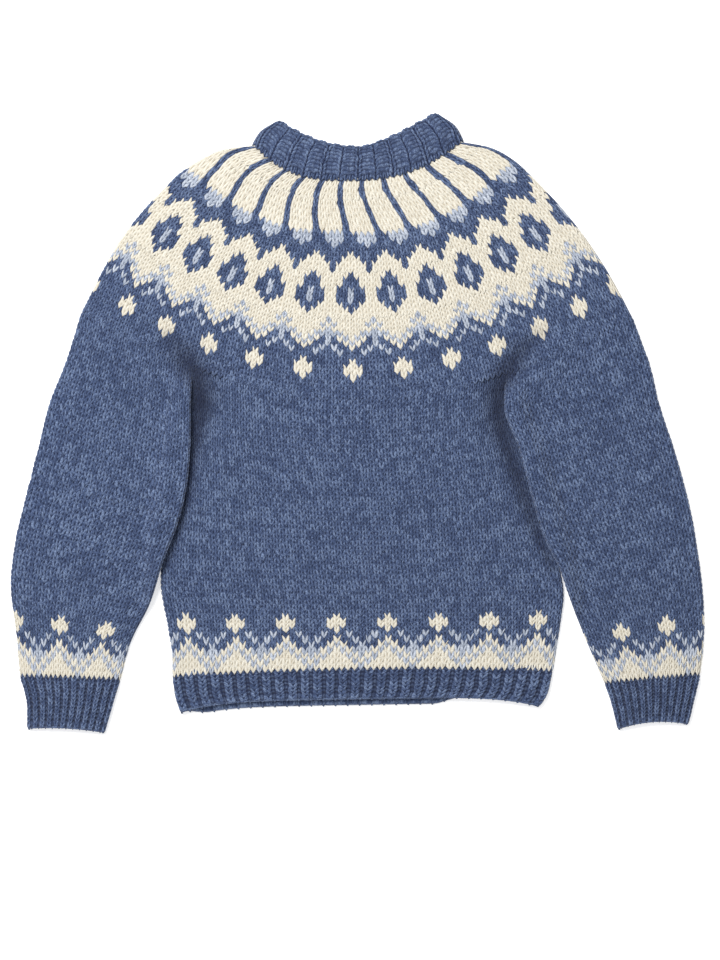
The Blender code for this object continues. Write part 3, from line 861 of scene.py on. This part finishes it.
# The way round an open edge, from its outer face to its inner face: past the edge, and in from the
# outer face as a share of the wall
EDGE_PROFILE = [
    (-1.4, 0.32),
    (-0.3, 0.2),
    (0.7, 0.3),
    (1.1, 0.5),
    (0.8, 0.8),
    (-0.4, 1.0),
    (-4, 1.04),
    (-8, 1.0),
    (-13, 1.04),
]
LIP_END = 5  # the step of the profile at which its rounded lip ends
INSIDE_FROM, INSIDE_FADE = 0.9, 0.4  # depth at which its inside begins, and how softly
INSIDE_RELIEF = 1.3  # height of the rib on the inside
INSIDE_RISE = 0.5  # how far the inside stands in from the wall
EDGE_HOLLOW_PAINTED_SHADE, INSIDE_PAINTED_SHADE = 0.25, 0.4  # painted shade between an edge's stitches, and inside it
LOOP_SIZE = 1.0  # how far each stitch of an edge bulges past the gaps beside it
RIB_SCALLOP = 0.7  # how far the purl columns of an edge bulge past the knit ones
EDGE_STEPS = 4  # mesh steps to a stitch
EDGE_PLACE, EDGE_SHARE = 0.94, 0.05  # where an edge lies in the colour map, and its height
EDGE_RUN, EDGE_SHIFT = 2.5, 31  # millimetres of yarn to a step of the profile, and between stitches


def turn_edge(cloth, strip, length, wall, seed):
    """The rounded open edge of a tube, and as much of its inside as shows past it."""
    rng = np.random.default_rng(seed)
    count = int(2 * strip.across * EDGE_STEPS)
    at_u = np.arange(count + 1) / EDGE_STEPS - strip.phase
    u, k = np.meshgrid(at_u, np.arange(len(EDGE_PROFILE)))
    past, depth = np.array(EDGE_PROFILE)[k].transpose(2, 0, 1)
    inside = depth > INSIDE_FROM
    loop = np.abs(np.cos(math.pi * u))
    scallop = LOOP_SIZE * loop - RIB_SCALLOP * np.cos(2 * math.pi * u / len(strip.rib.columns))
    past = past + scallop * (k > 0) * (k < LIP_END)
    ribs = rib_relief(strip, u, float(strip.rows) if strip.flat_top else 0.0)
    w = (u + rib_spread(strip, u) + strip.phase) / strip.across
    outside = smoothstep((INSIDE_FROM - depth) / INSIDE_FADE)
    relief = INSIDE_RELIEF * (0.5 - 0.5 * ribs / strip.rib.depth) - INSIDE_RISE
    sink = outside * ribs * (w <= 1) + depth * wall + relief * inside
    t = 1.0 + past / length
    points = cloth.read(cloth.points, t, w) - cloth.read(cloth.normals, t, w) * sink[..., None]

    turned = [1, 2, 3, 0] if strip.flat_top else [0, 3, 2, 1]
    index = np.arange(u.size).reshape(u.shape)
    corners, corner_u, corner_k = (face_corners(grid)[..., turned] for grid in (index, u, k))
    tone = np.repeat(rng.random((len(EDGE_PROFILE) - 1, int(2 * strip.across))), EDGE_STEPS, axis=1)
    tone = tone[:, :count]
    bake_u = MAP_RIM + (1 - 2 * MAP_RIM) * (corner_u + strip.phase) * EDGE_STEPS / count
    bake_v = EDGE_PLACE + EDGE_SHARE * corner_k / (len(EDGE_PROFILE) - 1)
    across = corner_u * STITCH_WIDTH + EDGE_SHIFT * tone[..., None]
    # painted shade between the edge's stitches and on its inside
    painted_shade_height = EDGE_HOLLOW_PAINTED_SHADE + (1 - EDGE_HOLLOW_PAINTED_SHADE) * loop * (1 - INSIDE_PAINTED_SHADE * inside)
    return {
        "points": points.reshape(-1, 3),
        "faces": corners.reshape(-1, 4),
        "yarn": np.zeros(tone.size, int),
        "tone": tone.reshape(-1),
        "painted_shade_height": painted_shade_height.reshape(-1),
        "valley": np.zeros(painted_shade_height.size),
        "plain": np.zeros(tone.size),
        "yarn_uv": np.stack([corner_k * EDGE_RUN, across], axis=-1).reshape(-1, 4, 2),
        "stitch_uv": np.zeros((tone.size, 4, 2)),
        "bake_uv": np.stack([bake_u, bake_v], axis=-1).reshape(-1, 4, 2),
    }


def knit_rib(cloth, strip, length, wall, seed, above=None):
    """A ribbed piece with its open edge, which is at its far end from the rest of the garment."""
    places = [0.0, length] if strip.flat_top else [length, 0.0]
    rows = rows_along([0, strip.rows], places, length)
    parts = knit_piece(cloth, [strip], rows, seed, above)
    return parts + [turn_edge(cloth, strip, length, wall, seed + 10)]


def band_seam(a):
    return yoke_point(a, 0.0) + (0.0, SEAM_GAP)


def band_top(a):
    """The top edge of the neckband, with rounded corners."""
    line = ring_curve(BAND_TOP, a)
    from_corner = np.minimum(a, 1 - a) * BAND_TOP_LENGTH
    share = np.clip(1 - from_corner / BAND_CORNER, 0, 1)
    line[:, 1] -= BAND_CORNER * (1 - np.sqrt(1 - share * share))
    return line


def band_wall(t):
    return np.interp(t, [0.0, 0.2, 0.5], [WALL, BAND_FOOT_WALL, BAND_WALL])


band_left, band_right = side_folds(band_seam, BAND_SIDES)
band_cloth = Cloth(patch(band_seam, band_top, band_left, band_right), wall=band_wall)
band_strip = Strip(BAND_STITCHES, 1.5, 0, BAND_ROWS, ["b"], K1P2, flat_top=True)
band_parts = knit_rib(band_cloth, band_strip, BAND_LENGTH, BAND_WALL, 200)
finish_piece("ribbed_neckband", band_parts, "neckband")

# The body: a plain tube of the dark yarn, knitted up from the welt with a small band of the yoke's
# pattern above it. At the top it narrows into the yoke between the two sleeves.
ARMPIT_LEFT_X = -201.0
ARMPIT_RIGHT_X = 181.0
ARMPIT_SPREAD = -8.0  # less than nothing, so that the body and the sleeves meet without a hole
SLEEVE_OVERLAP = 30.0  # the body's sides are pressed flat this far in, under the sleeves
BODY_SIDES = [
    Section(-203, 36, 182, 38),
    Section(-205, 21, 184, 21),
    Section(-210, 2, 190, 2),
    Section(-218, -44, 207, -44),
    Section(-227, -104, 225, -104),
    Section(-236, -164, 241, -164),
    Section(-236, -203, 248, -204),
    Section(-230, -236, 245, -236),
    Section(-224, -272, 240, -268),
    Section(-223, -307, 235, -300),
]
HEM_SEAM_BOW = 6.0  # how far the middle of the seam stands above its corners
BODY_LENGTH = 322.0
BODY_WIDEST = 484.0
BODY_STITCHES, BODY_PHASE, BODY_ROWS = 64, 3.7, 55

# The band, from the bottom row up: the yoke's zigzag upside down, a row shorter, and its dots
BAND_CHART = ["ccccpccc", "cccpcpcc", "ccpcpcpc", "cpcpppcp", "pcbbpbbc", "cbbpbpbb", "bbpbbbpb"]
BAND_CHART += DOT_CHART
ZIGZAG_ROWS = 7
BODY_CHART = BAND_CHART + PLAIN_ROW * (BODY_ROWS - len(BAND_CHART))
BODY_ROW_DEPTHS = [BODY_LENGTH, 277.3, 257.8, 0.0]


def share_at(x):
    """The share of the underarm ring's length at which it passes x."""
    shares = np.linspace(0, 1, CURVE_SAMPLES)
    return float(np.interp(x, ring_curve(RINGS[-1], shares)[:, 0], shares))


def underarm_part(start, end):
    """Part of the underarm ring, just below the yoke, as a function of the share across it."""

    def point(a):
        shares = start + (end - start) * a
        step = 1 / CURVE_SAMPLES
        ahead = ring_curve(RINGS[-1], np.clip(shares + step, 0, 1))
        behind = ring_curve(RINGS[-1], np.clip(shares - step, 0, 1))
        run = ahead - behind
        down = np.stack([run[:, 1], -run[:, 0]], axis=-1)
        down /= np.linalg.norm(down, axis=1, keepdims=True)
        return ring_curve(RINGS[-1], shares) + SEAM_GAP * down

    return point


def bowed_line(a, start, end, bow, power=2.0):
    """A line between two corners whose middle stands above it by bow."""
    line = np.outer(1 - a, start) + np.outer(a, end)
    line[:, 1] += bow * (1 - np.abs(2 * a - 1) ** power)
    return line


underarm = ring_curve(RINGS[-1], np.linspace(0, 1, CURVE_SAMPLES))
armpit_spread = ARMPIT_SPREAD / 2 / np.hypot(*np.diff(underarm, axis=0).T).sum()
armpit_left, armpit_right = share_at(ARMPIT_LEFT_X), share_at(ARMPIT_RIGHT_X)
body_top = underarm_part(armpit_left + armpit_spread, armpit_right - armpit_spread)
body_left, body_right = side_folds(body_top, BODY_SIDES)


def hem_seam(a):
    return bowed_line(a, body_left(1.0), body_right(1.0), HEM_SEAM_BOW)


body_cloth = Cloth(
    patch(body_top, hem_seam, body_left, body_right),
    flat_edge=SLEEVE_OVERLAP,
    widest=BODY_WIDEST,
    valley_reach=math.inf,
)
underarm_feet = feet(yoke_cloth, 1.0, UNDERARM_STITCHES, 0.0)
body_strip = Strip(BODY_STITCHES, BODY_PHASE, 0, BODY_ROWS, BODY_CHART)
body_row_marks = [0, ZIGZAG_ROWS, len(BAND_CHART), BODY_ROWS]
body_rows = rows_along(body_row_marks, BODY_ROW_DEPTHS, BODY_LENGTH)
body_parts = knit_piece(body_cloth, [body_strip], body_rows, 300, underarm_feet)
finish_piece("knitted_body", body_parts, "body")

# The welt round the hem: one knit, one purl, cast on loosely. The back lies a little lower than the
# front, so that its inside shows along the front edge.
HEM_SIDES = [Section(-219, -332, 227, -330), Section(-214, -347, 220, -340)]
HEM_EDGE_BOW = 13.0  # the edge's middle stands so far above its corners
HEM_EDGE_POWER = 5.0  # and the higher this is, the straighter it is along the middle
HEM_DROP = 7.0  # how far below the front the back shows, between two places across
HEM_DROP_FROM = -212.0
HEM_DROP_TO = 124.0
HEM_DROP_FADE = 34.0
HEM_LENGTH = 33.0
HEM_STITCHES, HEM_ROWS = 60, 7
K1P1 = Rib("+-", 1.2, 2.2, 0.26, -0.1)


def hem_top(a):
    return hem_seam(a) - (0.0, SEAM_GAP)


def hem_edge(a):
    return bowed_line(a, hem_left(1.0), hem_right(1.0), HEM_EDGE_BOW, HEM_EDGE_POWER)


def hem_back_edge(a):
    """The lower edge of the back, which shows under the front edge."""
    line = hem_edge(a)
    rise = smoothstep((line[:, 0] - HEM_DROP_FROM) / HEM_DROP_FADE)
    fall = smoothstep((HEM_DROP_TO - line[:, 0]) / HEM_DROP_FADE)
    line[:, 1] -= HEM_DROP * rise * fall
    return line


hem_left, hem_right = side_folds(hem_top, HEM_SIDES)
hem_front = patch(hem_top, hem_edge, hem_left, hem_right)
hem_back = patch(hem_top, hem_back_edge, hem_left, hem_right)
hem_cloth = Cloth(hem_front, hem_back)
hem_strip = Strip(HEM_STITCHES, 1.0, 0, HEM_ROWS, ["b"], K1P1, flat_foot=True)
body_feet = feet(body_cloth, 1.0, BODY_STITCHES, BODY_PHASE)
hem_parts = knit_rib(hem_cloth, hem_strip, HEM_LENGTH, WALL, 400, body_feet)
finish_piece("ribbed_hem", hem_parts, "hem_rib")

# The sleeves and their cuffs: tubes of the dark yarn, with the body's band above a cuff in the welt's
# rib. They lie on the sides of the body below the armpits.
SLEEVE_LIFT = 9.3  # height of the body's side, which the sleeve lies on
LIFT_RUN = 24.0  # how far past that side it comes down to the table
LIFT_MARGIN = 5.0  # how far past it the sleeve still lies as high
LIFT_START = 0.085  # share of its length by which it has climbed there
SEAM_BOW = 0.5  # how far the middle of the cuff's seam stands above its corners
SLEEVE_LENGTH = 408.0
SLEEVE_STITCHES, UPPER_STITCHES = 22, 24
SLEEVE_ROWS, UPPER_ROW = 64, 34  # its rows, and the first of the wider ones
SLEEVE_ROW_DEPTHS = [SLEEVE_LENGTH, 358.7, 337.0, 0.0]
SLEEVE_LEFT_SIDES = [
    Section(-341, 105, -199.0, 38),
    Section(-350, 77, -199.5, 21),
    Section(-371, 23, -200, -27),
    Section(-385, -32, -204, -74),
    Section(-399, -87, -215, -121),
    Section(-412, -142, -233, -168),
    Section(-417.4, -197, -248, -215),
    Section(-411, -251, -272, -263),
    Section(-406, -306, -285, -310),
]
SLEEVE_RIGHT_SIDES = [
    Section(176.0, 36, 341, 100),
    Section(175.5, 19, 350, 76),
    Section(193, -31, 364, 20),
    Section(207, -83, 381, -32),
    Section(223, -137, 397, -89),
    Section(242, -176, 408, -146),
    Section(256, -216, 415, -200),
    Section(274, -260, 417, -254),
    Section(297, -314, 412, -304),
]
CUFF_LEFT_SIDES = [Section(-399, -328, -291, -329), Section(-397, -366, -303, -371)]
CUFF_RIGHT_SIDES = [Section(303, -331, 405, -332), Section(312, -367, 398, -361)]
CUFF_LENGTH = 58.0
CUFF_STITCHES, CUFF_ROWS = 24, 12

Sleeve = namedtuple("Sleeve", "word side sections cuff_sections armpit body_side bow phase")
SLEEVES = [
    Sleeve("left", -1, SLEEVE_LEFT_SIDES, CUFF_LEFT_SIDES, armpit_left, body_left, 3.0, 0.6),
    Sleeve("right", 1, SLEEVE_RIGHT_SIDES, CUFF_RIGHT_SIDES, armpit_right, body_right, 6.0, 6.8),
]


def sleeve_floor(side, body_side):
    """The height of a sleeve's underside, which climbs over the body's side fold."""
    samples = np.array([body_side(t) for t in np.linspace(0, 1, CURVE_SAMPLES)])
    order = np.argsort(samples[:, 1])
    edge_x, edge_y = samples[order, 0], samples[order, 1]

    def height(points, t):
        outside = side * (points[:, 0] - np.interp(points[:, 1], edge_y, edge_x))
        on_body = 1 - smoothstep((outside - LIFT_MARGIN) / LIFT_RUN)
        return SLEEVE_LIFT * on_body * smoothstep(t / LIFT_START)

    return height


def sleeve_and_cuff(sleeve, seed):
    """One sleeve and its ribbed cuff."""
    inner = sleeve.armpit + sleeve.side * armpit_spread
    top = underarm_part(0.0, inner) if sleeve.side < 0 else underarm_part(inner, 1.0)
    left, right = side_folds(top, sleeve.sections)

    def seam(a):
        return bowed_line(a, left(1.0), right(1.0), SEAM_BOW)

    floor = sleeve_floor(sleeve.side, sleeve.body_side)
    cloth = Cloth(patch(top, seam, left, right), floor=floor, valley_reach=LIFT_START)
    chart = BAND_CHART + PLAIN_ROW * (UPPER_ROW - len(BAND_CHART))
    strips = [
        Strip(SLEEVE_STITCHES, sleeve.phase, 0, UPPER_ROW, chart),
        Strip(UPPER_STITCHES, sleeve.phase, UPPER_ROW, SLEEVE_ROWS - UPPER_ROW, ["b"]),
    ]
    row_marks = [0, ZIGZAG_ROWS, len(BAND_CHART), SLEEVE_ROWS]
    rows = rows_along(row_marks, SLEEVE_ROW_DEPTHS, SLEEVE_LENGTH)
    parts = knit_piece(cloth, strips, rows, seed, underarm_feet)
    sleeve_name, cuff_name = "sleeve_" + sleeve.word, "cuff_" + sleeve.word
    finish_piece("knitted_" + sleeve_name, parts, sleeve_name)

    def rib_top(a):
        return seam(a) - (0.0, SEAM_GAP)

    rib_left, rib_right = side_folds(rib_top, sleeve.cuff_sections)

    def edge(a):
        return bowed_line(a, rib_left(1.0), rib_right(1.0), sleeve.bow)

    cuff = Cloth(patch(rib_top, edge, rib_left, rib_right))
    strip = Strip(CUFF_STITCHES, 1.0, 0, CUFF_ROWS, ["b"], K1P1, flat_foot=True)
    sleeve_feet = feet(cloth, 1.0, SLEEVE_STITCHES, sleeve.phase)
    parts = knit_rib(cuff, strip, CUFF_LENGTH, WALL, seed + 50, sleeve_feet)
    finish_piece("ribbed_" + cuff_name, parts, cuff_name)


for number, sleeve in enumerate(SLEEVES):
    sleeve_and_cuff(sleeve, 500 + 100 * number)
